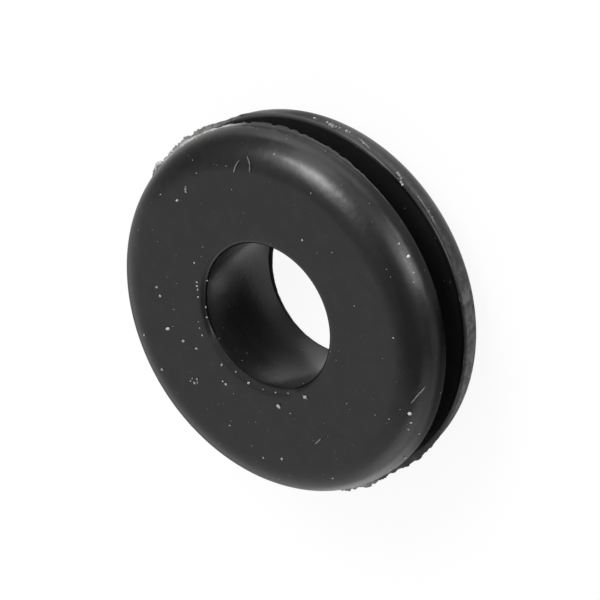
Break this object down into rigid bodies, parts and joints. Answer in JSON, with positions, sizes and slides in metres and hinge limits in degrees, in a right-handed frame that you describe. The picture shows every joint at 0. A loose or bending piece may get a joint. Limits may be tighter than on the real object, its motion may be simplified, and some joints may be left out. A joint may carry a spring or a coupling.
{
  "type": "rubber grommet",
  "caption": "Round open grommet of black rubber: two rounded flanges with a panel groove between them and a through bore that lines a cable's hole.",
  "frame": {"origin": "centre of the back flange's flat face, on the bore's axis", "axes": "+Z along the bore, from the back flange to the front flange; the part is round, so X and Y are free"},
  "size_m": [0.015, 0.015, 0.0045],
  "materials": {
    "rubber": "black moulded rubber, satin to dull, dusty, with ragged moulding flash on one rim"
  },
  "bodies": {
    "root": {"grommet": "rubber"}
  },
  "joints": []
}
